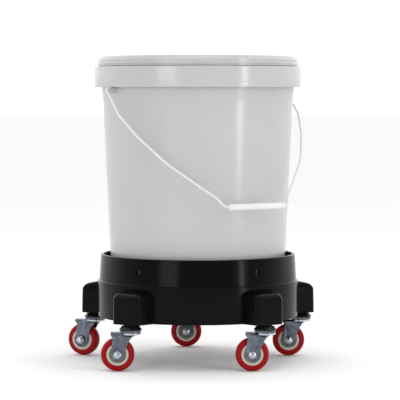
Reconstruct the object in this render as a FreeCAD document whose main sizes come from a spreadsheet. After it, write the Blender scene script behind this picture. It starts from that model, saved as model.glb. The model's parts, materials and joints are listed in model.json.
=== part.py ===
import FreeCAD, Part
import math
import os
import Sketcher

# A car-washing bucket: a moulded pail with a snap lid and a wire bail, standing in a
# ring-shaped dolly on five swivel casters. Millimetres, +Z up, with the origin on the
# floor under the pail's axis. -Y is the front.

Vector = FreeCAD.Vector
Rotation = FreeCAD.Rotation
Y_AXIS = Vector(0, 1, 0)
Z_AXIS = Vector(0, 0, 1)

doc = FreeCAD.newDocument("wash_bucket")
sheet = doc.addObject("Spreadsheet::Sheet", "Sizes")

DRIVING_SIZES = {
    # pail
    "pail_base_z": 78.0,
    "pail_base_radius": 130.5,
    "pail_low_z": 165.0,
    "pail_low_radius": 134.0,
    "pail_high_z": 397.0,
    "pail_high_radius": 144.8,
    "pail_rim_radius": 149.4,
    "pail_rim_z": 461.0,
    "pail_wall": 2.2,
    "band_radius": 158.5,
    "band_bottom_z": 418.0,
    "band_top_z": 449.0,
    "band_wall": 2.2,
    "band_rib_wall": 2.0,
    # lid
    "lid_radius": 153.0,
    "lid_bottom_z": 449.6,
    "lid_top_z": 465.0,
    "lid_wall": 2.0,
    # bail
    "bail_turn": 32.0,
    "bail_tilt": 43.5,
    "bail_pivot_z": 415.5,
    "bail_half_span": 161.0,
    "wire_radius": 1.7,
    "wire_hole_radius": 1.78,
    "ear_radius": 6.5,
    "grip_half_length": 48.0,
    "grip_radius": 4.9,
    "grip_arm": 238.0,
    # dolly ring
    "ring_bottom_z": 69.0,
    "ring_step_z": 124.0,
    "ring_top_z": 164.0,
    "ring_outer_radius": 153.3,
    "collar_low_radius": 150.7,
    "collar_top_radius": 148.4,
    "ring_wall": 4.2,
    "rib_wall": 3.0,
    "seat_radius": 118.0,
    "pod_root_half_width": 28.0,
    "pod_face_half_width": 23.5,
    "pod_face_radius": 183.5,
    "pod_top_z": 119.0,
    "pod_corner": 7.0,
    "pod_shoulder": 13.0,
    "pod_wall": 3.6,
    "pod_roof": 15.0,
    "pod_sink": 3.6,
    "pod_nose_drop": 13.0,
    "pod_nose_bend": 8.0,
    "boss_radius": 10.5,
    "boss_top_z": 101.0,
    "collar_hole_radius": 4.3,
    "collar_hole_z": 144.0,
    # casters
    "stem_circle_radius": 168.5,
    "stem_radius": 5.5,
    "shank_radius": 4.0,
    "cap_radius": 16.7,
    "cap_top_radius": 13.7,
    "cap_top_z": 66.5,
    "cap_bottom_z": 60.0,
    "race_bottom_z": 57.6,
    "race_radius": 15.5,
    "ball_radius": 1.5,
    "ball_circle_radius": 11.0,
    "ball_lift": 0.33,
    "crown_top_z": 57.2,
    "crown_thickness": 3.0,
    "caster_trail": 19.0,
    "wheel_radius": 25.0,
    "tyre_half_width": 9.5,
    "hub_radius": 16.3,
    "fork_gap_half": 11.0,
    "fork_wall": 2.0,
    "axle_radius": 3.15,
    "bush_bore_radius": 3.2,
    "bush_radius": 4.6,
}

for row, (alias, number) in enumerate(DRIVING_SIZES.items(), start=1):
    sheet.set("A%d" % row, alias)
    sheet.set("B%d" % row, str(number))
    sheet.setAlias("B%d" % row, alias)
doc.recompute()

CASTER_COUNT = 5
FIRST_CASTER = 90.0            # the back caster stands on +Y, the rest every 72 degrees
CASTER_NAMES = ("back", "left_side", "front_left", "front_right", "right_side")
# How far each caster is swivelled from trailing towards -X, and which have the nut in front.
SWIVEL = {"back": 0.0, "left_side": -20.0, "front_left": 0.0, "front_right": 0.0, "right_side": 0.0}
NUT_IN_FRONT = ("left_side", "right_side")


class Size:
    """A number with the spreadsheet expression that gives it."""

    def __init__(self, value, text):
        self.value = float(value)
        self.text = text

    def __add__(self, other):
        return Size(self.value + value_of(other), "(%s + %s)" % (self.text, text_of(other)))

    def __sub__(self, other):
        return Size(self.value - value_of(other), "(%s - %s)" % (self.text, text_of(other)))

    def __mul__(self, other):
        return Size(self.value * value_of(other), "(%s * %s)" % (self.text, text_of(other)))

    def __neg__(self):
        return Size(-self.value, "(0 - %s)" % self.text)

    __radd__ = __add__
    __rmul__ = __mul__


def value_of(size):
    return size.value if isinstance(size, Size) else float(size)


def text_of(size):
    return size.text if isinstance(size, Size) else repr(float(size))


class Cells:
    """Spreadsheet cells by alias, as sizes."""

    def __getattr__(self, alias):
        return Size(float(sheet.get(alias)), "Sizes." + alias)


dim = Cells()


def bind(feature, prop, size):
    """Set a feature's property and tie it to the sheet."""
    if isinstance(size, Size):
        feature.setExpression(prop, size.text)
    else:
        setattr(feature, prop, size)


def new_body(label):
    body = doc.addObject("PartDesign::Body", label)
    body.Label = label
    return body


def origin_feature(body, role):
    return next(f for f in body.Origin.OriginFeatures if f.Role == role)


def attach(feature, body, role, lift=0.0):
    feature.AttachmentSupport = [(origin_feature(body, role), "")]
    feature.MapMode = "FlatFace"
    if isinstance(lift, Size):
        feature.setExpression("AttachmentOffset.Base.z", lift.text)
    feature.AttachmentOffset = FreeCAD.Placement(Vector(0, 0, value_of(lift)), Rotation())


def fix_point(sketch, geometry, end, x, y):
    """Hold one end of an edge at x, y by named dimensions."""
    for kind, axis, size in (("DistanceX", -2, x), ("DistanceY", -1, y)):
        if not isinstance(size, Size) and float(size) == 0.0:
            sketch.addConstraint(Sketcher.Constraint("PointOnObject", geometry, end, axis))
            continue
        index = sketch.addConstraint(
            Sketcher.Constraint(kind, -1, 1, geometry, end, value_of(size)))
        if isinstance(size, Size):
            sketch.setExpression("Constraints[%d]" % index, size.text)


def arc_between(start, end, radius):
    """Minor arc from start to end, its centre on the left for a positive radius."""
    chord = end - start
    middle = (start + end) * 0.5
    side = Vector(-chord.y, chord.x, 0).normalize()
    half = chord.Length / 2
    reach = math.sqrt(max(radius * radius - half * half, 0.0))
    centre = middle + side * (reach if radius > 0 else -reach)
    first, last = (start, end) if radius > 0 else (end, start)
    a = math.atan2(first.y - centre.y, first.x - centre.x)
    b = math.atan2(last.y - centre.y, last.x - centre.x)
    circle = Part.Circle(centre, Z_AXIS, abs(radius))
    return Part.ArcOfCircle(circle, a, b if b > a else b + 2 * math.pi)


def outline(body, name, role, points, lift=0.0):
    """Closed sketch through points (x, y) or (x, y, radius of the arc to the next point)."""
    sketch = body.newObject("Sketcher::SketchObject", name)
    attach(sketch, body, role, lift)
    count = len(points)
    starts = []
    for i, point in enumerate(points):
        following = points[(i + 1) % count]
        start = Vector(value_of(point[0]), value_of(point[1]), 0)
        end = Vector(value_of(following[0]), value_of(following[1]), 0)
        if len(point) == 3:
            radius = value_of(point[2])
            sketch.addGeometry(arc_between(start, end, radius))
            starts.append((1, 2) if radius > 0 else (2, 1))
        else:
            sketch.addGeometry(Part.LineSegment(start, end))
            starts.append((1, 2))
    for i, point in enumerate(points):
        previous = (i - 1) % count
        sketch.addConstraint(Sketcher.Constraint(
            "Coincident", previous, starts[previous][1], i, starts[i][0]))
        fix_point(sketch, i, starts[i][0], point[0], point[1])
        if len(point) == 3:
            index = sketch.addConstraint(
                Sketcher.Constraint("Radius", i, abs(value_of(point[2]))))
            if isinstance(point[2], Size):
                radius = point[2] if point[2].value > 0 else -point[2]
                sketch.setExpression("Constraints[%d]" % index, radius.text)
    return sketch


def circle_sketch(body, name, role, x, y, radius, lift=0.0):
    sketch = body.newObject("Sketcher::SketchObject", name)
    attach(sketch, body, role, lift)
    centre = Vector(value_of(x), value_of(y), 0)
    sketch.addGeometry(Part.Circle(centre, Z_AXIS, value_of(radius)))
    fix_point(sketch, 0, 3, x, y)
    index = sketch.addConstraint(Sketcher.Constraint("Radius", 0, value_of(radius)))
    if isinstance(radius, Size):
        sketch.setExpression("Constraints[%d]" % index, radius.text)
    return sketch


def revolve(body, name, points, kind="PartDesign::Revolution"):
    """Turn an (radius, height) outline a full circle about the body's Z axis."""
    sketch = outline(body, name + "_outline", "XZ_Plane", points)
    feature = body.newObject(kind, name)
    feature.Profile = sketch
    feature.ReferenceAxis = (sketch, ["V_Axis"])
    feature.Angle = 360
    return feature


def extrude(body, name, sketch, length, kind="PartDesign::Pad", reverse=False, both=False):
    """Pad or pocket a sketch, to one side of its plane or to both."""
    feature = body.newObject(kind, name)
    feature.Profile = sketch
    feature.Type = "Length"
    feature.SideType = "Symmetric" if both else "One side"
    bind(feature, "Length", length)
    feature.Reversed = reverse
    return feature


def pattern(body, name, originals, count):
    """Repeat features evenly about the body's Z axis."""
    feature = body.newObject("PartDesign::PolarPattern", name)
    feature.Originals = originals
    feature.Axis = (origin_feature(body, "Z_Axis"), [""])
    feature.Angle = 360
    feature.Occurrences = count
    body.Tip = feature
    return feature


def dome_radius(reach, rise):
    """Radius of a cap that is this wide on each side of its axis and this high."""
    return (reach * reach + rise * rise) / (2 * rise)


def place(body, position, rotation=Rotation()):
    body.Placement = FreeCAD.Placement(position, rotation)
    return body


# ---------------------------------------------------------------- dolly ring

def ring_core():
    """The ring itself: a band, a collar above it and the seat that the pail stands on."""
    body = new_body("ring_core")
    wall = dim.ring_wall
    outer = dim.ring_outer_radius
    inner_low = dim.collar_low_radius - 12.2
    inner_step = inner_low + 2.5
    inner_top = dim.collar_top_radius - wall
    seat_under = dim.pail_base_z - 4.5
    channel_top = dim.ring_step_z - wall
    revolve(body, "ring", [
        (dim.seat_radius, seat_under),
        (inner_low + wall, seat_under),
        (inner_step + wall, channel_top),
        (outer - wall, channel_top),
        (outer - wall, dim.ring_bottom_z),
        (outer, dim.ring_bottom_z),
        (outer, dim.ring_step_z - 1.5, 1.5),
        (outer - 1.5, dim.ring_step_z),
        (dim.collar_low_radius, dim.ring_step_z + 0.4),
        (dim.collar_top_radius, dim.ring_top_z - 1.6, 1.6),
        (dim.collar_top_radius - 1.6, dim.ring_top_z),
        (inner_top + 1.2, dim.ring_top_z, 1.2),
        (inner_top, dim.ring_top_z - 1.2),
        (dim.collar_low_radius - wall - 0.5, dim.ring_step_z + 6.0),
        (inner_step, dim.ring_step_z),
        (inner_low, dim.pail_base_z),
        (dim.seat_radius, dim.pail_base_z),
    ])
    # Ten ribs stand on the seat and centre the pail.
    rib = outline(body, "centring_rib_outline", "YZ_Plane", [
        (dim.pail_base_radius + 1.6, dim.pail_base_z - 1.0),
        (inner_low + 1.0, dim.pail_base_z - 1.0),
        (inner_step + 1.0, dim.ring_step_z - 2.0),
        (dim.pail_low_radius + 1.2, dim.ring_step_z - 10.0),
    ])
    centring = extrude(body, "centring_rib", rib, dim.rib_wall, both=True)
    pattern(body, "centring_ribs", [centring], 2 * CASTER_COUNT)
    # Webs stiffen the channel between the two walls, seen from below.
    web = outline(body, "web_outline", "YZ_Plane", [
        (inner_low + wall - 1.0, seat_under + 1.0),
        (outer - wall + 1.0, dim.ring_bottom_z + 3.0),
        (outer - wall + 1.0, channel_top + 1.0),
        (inner_step + wall - 1.0, channel_top + 1.0),
    ])
    stiffener = extrude(body, "web", web, dim.rib_wall, both=True)
    pattern(body, "webs", [stiffener], 3 * CASTER_COUNT)
    # A screw hole through the collar above each pod.
    eye = circle_sketch(body, "collar_hole_circle", "XZ_Plane", 0.0, dim.collar_hole_z,
                        dim.collar_hole_radius)
    collar_hole = extrude(body, "collar_hole", eye, dim.ring_outer_radius + 10.0,
                          kind="PartDesign::Pocket")
    pattern(body, "collar_holes", [collar_hole], CASTER_COUNT)
    return body


def stem_place(index):
    """Where caster number index has its stem, and its bearing from the pail's axis."""
    bearing = FIRST_CASTER + 360.0 / CASTER_COUNT * index
    around = math.radians(bearing)
    radius = dim.stem_circle_radius.value
    return Vector(radius * math.cos(around), radius * math.sin(around), 0), bearing


# Shares of the wall by which the room is inset at the ring and rounded less at its corners.
ROOM_ROOT_SHARE = 0.75
ROOM_CORNER_SHARE = 0.8


def pod_root():
    """Where a pod starts, a little way inside the ring, measured from the stem."""
    return dim.ring_outer_radius - dim.stem_circle_radius - dim.pod_sink


def pod_plan(inset):
    """Plan of a pod, inset from its outer surface. Its sides close in towards the outer face."""
    root = pod_root().value + inset * ROOM_ROOT_SHARE
    face = (dim.pod_face_radius - dim.stem_circle_radius).value - inset
    near = dim.pod_root_half_width.value - inset
    far = dim.pod_face_half_width.value - inset
    corner = dim.pod_corner.value - inset * ROOM_CORNER_SHARE
    lean = math.atan2(near - far, face - root)
    reach = corner / math.tan(math.pi / 4 + lean / 2)
    side_x = far + reach * math.sin(lean)
    side_y = face - reach * math.cos(lean)
    return [
        (-near, root),
        (-side_x, side_y, -corner),
        (-far + reach, face),
        (far - reach, face, -corner),
        (side_x, side_y),
        (near, root),
    ]


def pod(index):
    """One pod outside the ring. Its own Z axis is the caster's stem and +Y points outwards."""
    body = new_body("pod_%d" % (index + 1))
    half = dim.pod_root_half_width
    face = dim.pod_face_radius - dim.stem_circle_radius
    root = pod_root()
    over = 8.0
    beside = 2.0
    block = outline(body, "pod_outline", "XY_Plane", pod_plan(0.0), lift=dim.ring_bottom_z)
    extrude(body, "block", block, dim.pod_top_z - dim.ring_bottom_z)
    # Its top rounds over at both sides and slopes down to the outer face.
    shoulder = dim.pod_shoulder
    for name, side in (("left", -1.0), ("right", 1.0)):
        cut = outline(body, name + "_shoulder_outline", "XZ_Plane", [
            (side * (half.value + beside), dim.pod_top_z + over),
            (side * (half.value - shoulder.value), dim.pod_top_z + over),
            (side * (half.value - shoulder.value), dim.pod_top_z, shoulder.value * -side),
            (side * half.value, dim.pod_top_z - shoulder),
            (side * (half.value + beside), dim.pod_top_z - shoulder),
        ])
        extrude(body, name + "_shoulder", cut, 60.0, kind="PartDesign::Pocket", both=True)
    slope = outline(body, "slope_outline", "YZ_Plane", [
        (root - beside, dim.pod_top_z + 0.5),
        (face - 7.0, dim.pod_top_z - 5.0, -dim.pod_nose_bend.value),
        (face + 0.5, dim.pod_top_z - dim.pod_nose_drop),
        (face + 4.0, dim.pod_top_z - dim.pod_nose_drop),
        (face + 4.0, dim.pod_top_z + over),
        (root - beside, dim.pod_top_z + over),
    ])
    extrude(body, "slope", slope, half * 2.0 + over, kind="PartDesign::Pocket", both=True)
    # It is a shell, open below.
    room = outline(body, "room_outline", "XY_Plane", pod_plan(dim.pod_wall.value),
                   lift=dim.ring_bottom_z)
    extrude(body, "room", room, dim.pod_top_z - dim.ring_bottom_z - dim.pod_roof,
            kind="PartDesign::Pocket", reverse=True)
    boss = dim.boss_radius
    rise = 3.5
    bore = dim.stem_radius + 0.05
    bore_end = dim.cap_top_z + 34.0
    revolve(body, "boss", [
        (bore, dim.cap_top_z),
        (boss, dim.cap_top_z),
        (boss, dim.boss_top_z, dome_radius(boss.value, rise)),
        (0, dim.boss_top_z + rise),
        (0, bore_end),
        (bore, bore_end),
    ])
    position, bearing = stem_place(index)
    return place(body, position, Rotation(Z_AXIS, bearing - 90.0))


def dolly_ring():
    """Ring and pods, moulded as one piece."""
    ring = ring_core()
    for index in range(CASTER_COUNT):
        fused = doc.addObject("Part::Fuse", "ring_with_pod_%d" % (index + 1))
        fused.Base = ring
        fused.Tool = pod(index)
        ring = fused
    ring.Label = "dolly_ring"
    return ring


# ---------------------------------------------------------------- pail, lid and bail

def bail_axis():
    turn = math.radians(dim.bail_turn.value)
    return Vector(math.cos(turn), math.sin(turn), 0)


def bail_down():
    """Direction from the pivots to the grip, at rest."""
    turn = math.radians(dim.bail_turn.value)
    tilt = math.radians(dim.bail_tilt.value)
    out = Vector(math.sin(turn), -math.cos(turn), 0)
    return out * math.sin(tilt) - Z_AXIS * math.cos(tilt)


def pail():
    body = new_body("pail")
    wall = dim.pail_wall
    base = dim.pail_base_z
    band = dim.band_radius
    band_inner = band - dim.band_wall
    neck = dim.pail_high_radius + 2.5
    revolve(body, "shell", [
        (0, base + 3.0),
        (dim.pail_base_radius - 14.0, base + 3.0),
        (dim.pail_base_radius - 10.5, base),
        (dim.pail_base_radius - 2.5, base, 2.5),
        (dim.pail_base_radius, base + 2.5),
        (dim.pail_low_radius, dim.pail_low_z),
        (dim.pail_high_radius, dim.pail_high_z),
        (neck, dim.band_bottom_z),
        (neck, dim.band_top_z - dim.band_wall),
        (band_inner, dim.band_top_z - dim.band_wall),
        (band_inner, dim.band_bottom_z),
        (band, dim.band_bottom_z),
        (band, dim.band_top_z - 1.5, 1.5),
        (band - 1.5, dim.band_top_z),
        (dim.pail_rim_radius, dim.band_top_z),
        (dim.pail_rim_radius, dim.pail_rim_z - 1.2, 1.2),
        (dim.pail_rim_radius - 1.2, dim.pail_rim_z),
        (neck - wall + 1.2, dim.pail_rim_z, 1.2),
        (neck - wall, dim.pail_rim_z - 1.2),
        (neck - wall, dim.band_bottom_z),
        (dim.pail_high_radius - wall, dim.pail_high_z),
        (dim.pail_low_radius - wall, dim.pail_low_z),
        (dim.pail_base_radius - wall, base + 9.0, -3.5),
        (dim.pail_base_radius - wall - 3.5, base + 5.4),
        (0, base + 5.4),
    ])
    # Ribs behind the hanging band.
    rib = outline(body, "band_rib_outline", "XZ_Plane", [
        (neck - 1.0, dim.band_bottom_z + 6.0),
        (band_inner + 1.0, dim.band_bottom_z + 6.0),
        (band_inner + 1.0, dim.band_top_z - 1.0),
        (neck - 1.0, dim.band_top_z - 1.0),
    ])
    ribs = extrude(body, "band_rib", rib, dim.band_rib_wall, both=True)
    pattern(body, "band_ribs", [ribs], 24)
    # The two ears that the wire hooks into, on an axis across the pail.
    ears = []
    for name, side in (("near_ear", -1.0), ("far_ear", 1.0)):
        ear = body.newObject("PartDesign::AdditiveCylinder", name)
        attach(ear, body, "XY_Plane")
        start = bail_axis() * (side * (dim.pail_high_radius.value + 1.5))
        start.z = dim.bail_pivot_z.value
        ear.AttachmentOffset = FreeCAD.Placement(start, Rotation(Z_AXIS, bail_axis() * side))
        bind(ear, "Radius", dim.ear_radius)
        bind(ear, "Height", band - dim.pail_high_radius - 1.5)
        ears.append(ear)
    for name, side in (("near_ear_hole", -1.0), ("far_ear_hole", 1.0)):
        hole = body.newObject("PartDesign::SubtractiveCylinder", name)
        attach(hole, body, "XY_Plane")
        start = bail_axis() * (side * (dim.pail_high_radius.value + 3.4))
        start.z = dim.bail_pivot_z.value
        hole.AttachmentOffset = FreeCAD.Placement(start, Rotation(Z_AXIS, bail_axis() * side))
        bind(hole, "Radius", dim.wire_hole_radius)
        hole.Height = 30.0
    return body


def lid():
    body = new_body("lid")
    radius = dim.lid_radius
    wall = dim.lid_wall
    top = dim.lid_top_z
    low = dim.lid_bottom_z
    rim_room = dim.pail_rim_z + 1.4
    plug = dim.pail_high_radius + 2.5 - dim.pail_wall - 0.5
    revolve(body, "cover", [
        (0, top - wall),
        (plug - wall, top - wall),
        (plug - wall, low + 3.0),
        (plug, low + 3.0),
        (plug, rim_room),
        (radius - wall, rim_room),
        (radius - wall, low),
        (radius, low),
        (radius, low + 2.6),
        (radius + 0.7, low + 3.2),
        (radius + 0.7, low + 4.2),
        (radius, low + 4.8),
        (radius, low + 7.4),
        (radius + 0.7, low + 8.0),
        (radius + 0.7, low + 9.0),
        (radius, low + 9.6, 6.0),
        (radius - 5.5, top),
        (0, top),
    ])
    return body


def lid_seal():
    body = new_body("lid_seal")
    inner = dim.pail_high_radius + 2.5 - dim.pail_wall - 0.3
    revolve(body, "gasket", [
        (inner, dim.pail_rim_z + 0.3),
        (dim.pail_rim_radius + 0.3, dim.pail_rim_z + 0.3),
        (dim.pail_rim_radius + 0.3, dim.pail_rim_z + 1.4),
        (inner, dim.pail_rim_z + 1.4),
    ])
    return body


def rounded_path(points, radii):
    """Straight runs joined by tangent arcs, as one wire."""
    edges = []
    start = points[0]
    for before, corner, after, radius in zip(points, points[1:], points[2:], radii):
        back = (before - corner).normalize()
        ahead = (after - corner).normalize()
        half_turn = (math.pi - back.getAngle(ahead)) / 2
        reach = radius * math.tan(half_turn)
        entry = corner + back * reach
        leave = corner + ahead * reach
        middle_way = (back + ahead).normalize()
        centre = corner + middle_way * (radius / math.cos(half_turn))
        edges.append(Part.LineSegment(start, entry).toShape())
        edges.append(Part.Arc(entry, centre - middle_way * radius, leave).toShape())
        start = leave
    edges.append(Part.LineSegment(start, points[-1]).toShape())
    return Part.Wire(edges)


def bail_wire():
    """Round wire, hooked into both ears and jogged at each end of the grip."""
    span = dim.bail_half_span.value
    arm = dim.grip_arm.value
    grip = dim.grip_half_length.value
    # One half of the bail from the hook to the grip: along the pivot axis, away from it,
    # and the radius of the bend there.
    half = (
        (span, 0.0, 2.6),
        (span, 54.0, 40.0),
        (span - 14.0, 96.0, 60.0),
        (span - 42.0, 151.0, 90.0),
        (span - 84.0, 203.0, 90.0),
        (grip + 14.0, 221.0, 6.0),
        (grip + 10.0, arm - 6.0, 5.0),
        (grip + 5.0, arm, 4.0),
    )
    axis = bail_axis()
    down = bail_down()
    pivot = Z_AXIS * dim.bail_pivot_z.value

    def at(along, away):
        return pivot + axis * along + down * away

    tip = dim.pail_high_radius.value + 4.2
    points = [at(tip, 0)] + [at(u, v) for u, v, r in half]
    points += [at(-u, v) for u, v, r in reversed(half)] + [at(-tip, 0)]
    radii = [r for u, v, r in half] + [r for u, v, r in reversed(half)]
    path = rounded_path(points, radii)
    circle = Part.Wire(Part.Circle(points[0], axis, dim.wire_radius.value).toShape())
    feature = doc.addObject("Part::Feature", "bail_wire")
    feature.Label = "bail_wire"
    feature.Shape = path.makePipeShell([circle], True, False, 2)
    return feature


def bail_grip():
    """Plastic tube that turns on the wire."""
    body = new_body("bail_grip")
    bore = dim.wire_hole_radius
    outer = dim.grip_radius
    length = dim.grip_half_length * 2.0
    revolve(body, "tube", [
        (bore, 0),
        (outer - 1.0, 0, 1.0),
        (outer, 1.0),
        (outer, length - 1.0, 1.0),
        (outer - 1.0, length),
        (bore, length),
    ])
    axis = bail_axis()
    start = Z_AXIS * dim.bail_pivot_z.value + bail_down() * dim.grip_arm.value
    start = start - axis * dim.grip_half_length.value
    return place(body, start, Rotation(Z_AXIS, axis))


# ---------------------------------------------------------------- casters

def kingpin(label):
    body = new_body(label)
    head_top = dim.crown_top_z - dim.crown_thickness - 0.3
    revolve(body, "pin", [
        (0, head_top - 2.7),
        (5.6, head_top - 2.7),
        (7.0, head_top - 1.3),
        (7.0, head_top),
        (dim.shank_radius, head_top),
        (dim.shank_radius, dim.cap_bottom_z),
        (dim.stem_radius, dim.cap_bottom_z),
        (dim.stem_radius, dim.cap_bottom_z + 36.5),
        (dim.stem_radius - 1.3, dim.cap_bottom_z + 38.0),
        (0, dim.cap_bottom_z + 38.0),
    ])
    return body


def dust_cap(label):
    body = new_body(label)
    radius = dim.cap_radius
    revolve(body, "cap", [
        (dim.stem_radius + 0.05, dim.cap_bottom_z),
        (radius - 0.5, dim.cap_bottom_z),
        (radius, dim.cap_bottom_z + 0.6),
        (radius, dim.cap_bottom_z + 2.4),
        (dim.cap_top_radius, dim.cap_top_z),
        (dim.stem_radius + 0.05, dim.cap_top_z),
    ])
    return body


def upper_race(label):
    """Pressed ring that the balls run against, under the dust cap."""
    body = new_body(label)
    pitch = dim.ball_circle_radius
    groove = dim.ball_radius + 0.35
    low = dim.race_bottom_z
    revolve(body, "ring", [
        (dim.shank_radius + 0.05, low),
        (pitch - groove, low, -(groove + 0.05)),
        (pitch + groove, low),
        (dim.race_radius, low),
        (dim.race_radius, dim.cap_bottom_z),
        (dim.shank_radius + 0.05, dim.cap_bottom_z),
    ])
    return body


def fork(label):
    """Pressed-steel fork. Local +X is the way the wheel trails."""
    body = new_body(label)
    top = dim.crown_top_z
    under = top - dim.crown_thickness
    half = dim.fork_gap_half + dim.fork_wall
    trail = dim.caster_trail
    axle_z = dim.wheel_radius
    disc = circle_sketch(body, "crown_circle", "XY_Plane", 0.0, 0.0, 15.5, lift=under)
    extrude(body, "crown_disc", disc, dim.crown_thickness)
    plate = outline(body, "crown_plate_outline", "XY_Plane", [
        (0.0, -half),
        (27.0, -half, 2.0),
        (29.0, -half + 2.0),
        (29.0, half - 2.0, 2.0),
        (27.0, half),
        (0.0, half),
        (-8.5, half - 3.5),
        (-8.5, -half + 3.5),
    ], lift=under)
    extrude(body, "crown_plate", plate, dim.crown_thickness)
    legs = outline(body, "leg_outline", "XZ_Plane", [
        (-4.0, top - 0.5),
        (-4.0, under - 1.0, -9.0),
        (2.0, under - 9.0),
        (7.5, axle_z + 7.0),
        (trail - 8.7, axle_z - 2.3, 9.0),
        (trail, axle_z - 9.0, 9.0),
        (trail + 9.0, axle_z),
        (trail + 8.4, axle_z + 12.0),
        (trail + 6.5, under - 4.0),
        (trail + 5.5, top - 0.5),
    ])
    extrude(body, "leg_block", legs, half * 2.0, both=True)
    gap = outline(body, "fork_gap_outline", "XZ_Plane", [
        (-12.0, under),
        (-12.0, 0.0),
        (trail + 24.0, 0.0),
        (trail + 24.0, under),
    ])
    extrude(body, "fork_gap", gap, dim.fork_gap_half * 2.0, kind="PartDesign::Pocket", both=True)
    eye = circle_sketch(body, "axle_hole_circle", "XZ_Plane", trail, axle_z,
                        dim.axle_radius + 0.05)
    extrude(body, "axle_hole", eye, half * 2.0 + 4.0, kind="PartDesign::Pocket", both=True)
    pitch = dim.ball_circle_radius
    groove = dim.ball_radius + 0.05
    revolve(body, "ball_groove", [
        (pitch - groove, top + 1.0),
        (pitch - groove, top, groove + 0.05),
        (pitch + groove, top),
        (pitch + groove, top + 1.0),
    ], kind="PartDesign::Groove")
    revolve(body, "kingpin_hole", [
        (0, under - 2.0),
        (dim.shank_radius + 0.4, under - 2.0),
        (dim.shank_radius + 0.4, top + 2.0),
        (0, top + 2.0),
    ], kind="PartDesign::Groove")
    return body


def swivel_balls(label):
    count = 12
    centre_z = (dim.crown_top_z + dim.ball_lift).value
    pitch = dim.ball_circle_radius.value
    balls = []
    for i in range(count):
        angle = 2 * math.pi * i / count
        centre = Vector(pitch * math.cos(angle), pitch * math.sin(angle), centre_z)
        balls.append(Part.makeSphere(dim.ball_radius.value, centre))
    feature = doc.addObject("Part::Feature", label)
    feature.Label = label
    feature.Shape = Part.makeCompound(balls)
    return feature


def axle(label):
    """Axle bolt, its domed head at the bottom of its own Z axis."""
    body = new_body(label)
    half = dim.fork_gap_half + dim.fork_wall
    revolve(body, "bolt", [
        (0, 0, dome_radius(5.6, 2.2)),
        (5.6, 2.2),
        (5.8, 3.6),
        (dim.axle_radius, 3.6),
        (dim.axle_radius, half * 2.0 + 3.6 + 5.0),
        (0, half * 2.0 + 3.6 + 5.0),
    ])
    return body


def axle_nut(label):
    """Domed hexagon nut, standing on its own Z = 0."""
    body = new_body(label)
    corner = 6.35
    points = []
    for i in range(6):
        angle = math.radians(60 * i)
        points.append((corner * math.cos(angle), corner * math.sin(angle)))
    hexagon = outline(body, "hexagon", "XY_Plane", points)
    extrude(body, "nut", hexagon, 4.6)
    revolve(body, "dome", [
        (0, 4.0),
        (5.2, 4.0),
        (5.2, 4.8, dome_radius(5.2, 3.4)),
        (0, 8.2),
    ])
    revolve(body, "thread_room", [
        (0, -1.0),
        (dim.axle_radius + 0.05, -1.0),
        (dim.axle_radius + 0.05, 5.2),
        (0, 6.2),
    ], kind="PartDesign::Groove")
    return body


def wheel_bush(label):
    body = new_body(label)
    length = dim.fork_gap_half * 2.0 - 0.6
    revolve(body, "sleeve", [
        (dim.bush_bore_radius, 0),
        (dim.bush_radius, 0),
        (dim.bush_radius, length),
        (dim.bush_bore_radius, length),
    ])
    return body


def wheel_hub(label):
    body = new_body(label)
    bore = dim.bush_radius + 0.05
    rim = dim.hub_radius
    width = dim.tyre_half_width * 2.0
    revolve(body, "core", [
        (bore, 0.2),
        (7.4, 0.2),
        (7.8, 5.0),
        (11.2, 5.0),
        (12.2, 0.7, 0.8),
        (13.0, 0.0),
        (rim - 0.8, 0.0),
        (rim, 0.9),
        (rim, width - 0.9),
        (rim - 0.8, width),
        (13.0, width, 0.8),
        (12.2, width - 0.7),
        (11.2, width - 5.0),
        (7.8, width - 5.0),
        (7.4, width - 0.2),
        (bore, width - 0.2),
    ])
    return body


def tyre(label):
    body = new_body(label)
    width = dim.tyre_half_width * 2.0
    outer = dim.wheel_radius
    revolve(body, "tread", [
        (dim.hub_radius, 0.9),
        (dim.hub_radius + 1.6, 0.5),
        (outer - 4.2, 0.7, 4.6),
        (outer - 0.6, 4.6, 22.0),
        (outer - 0.6, width - 4.6, 4.6),
        (outer - 4.2, width - 0.7),
        (dim.hub_radius + 1.6, width - 0.5),
        (dim.hub_radius, width - 0.9),
    ])
    return body


def caster(index, name):
    """All the pieces of one caster, placed under its pod."""
    stem, bearing = stem_place(index)
    swivel = Rotation(Z_AXIS, 180.0 + SWIVEL[name])
    for piece, make in (("kingpin", kingpin), ("dust_cap", dust_cap), ("upper_race", upper_race)):
        place(make("%s_%s" % (name, piece)), stem)
    for piece, make in (("fork", fork), ("swivel_balls", swivel_balls)):
        place(make("%s_%s" % (name, piece)), stem, swivel)
    centre = stem + swivel.multVec(Vector(dim.caster_trail.value, 0, dim.wheel_radius.value))
    # The axle points from front to back, or back to front where the nut is in front.
    along = swivel.multVec(Y_AXIS)
    if name not in NUT_IN_FRONT:
        along = along * -1
    lying = Rotation(Z_AXIS, along)
    half = dim.fork_gap_half.value + dim.fork_wall.value
    place(axle("%s_axle" % name), centre - along * (half + 3.6), lying)
    place(axle_nut("%s_axle_nut" % name), centre + along * half, lying)
    tyre_half = dim.tyre_half_width.value
    bush_half = dim.fork_gap_half.value - 0.3
    place(wheel_bush("%s_wheel_bush" % name), centre - along * bush_half, lying)
    place(wheel_hub("%s_wheel_hub" % name), centre - along * tyre_half, lying)
    place(tyre("%s_tyre" % name), centre - along * tyre_half, lying)


PIECES_PER_CASTER = ("kingpin", "dust_cap", "upper_race", "fork", "swivel_balls",
                     "axle", "axle_nut", "wheel_bush", "wheel_hub", "tyre")

dolly_ring()
pail()
lid()
lid_seal()
bail_wire()
bail_grip()
for index, name in enumerate(CASTER_NAMES):
    caster(index, name)
doc.recompute()

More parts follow.
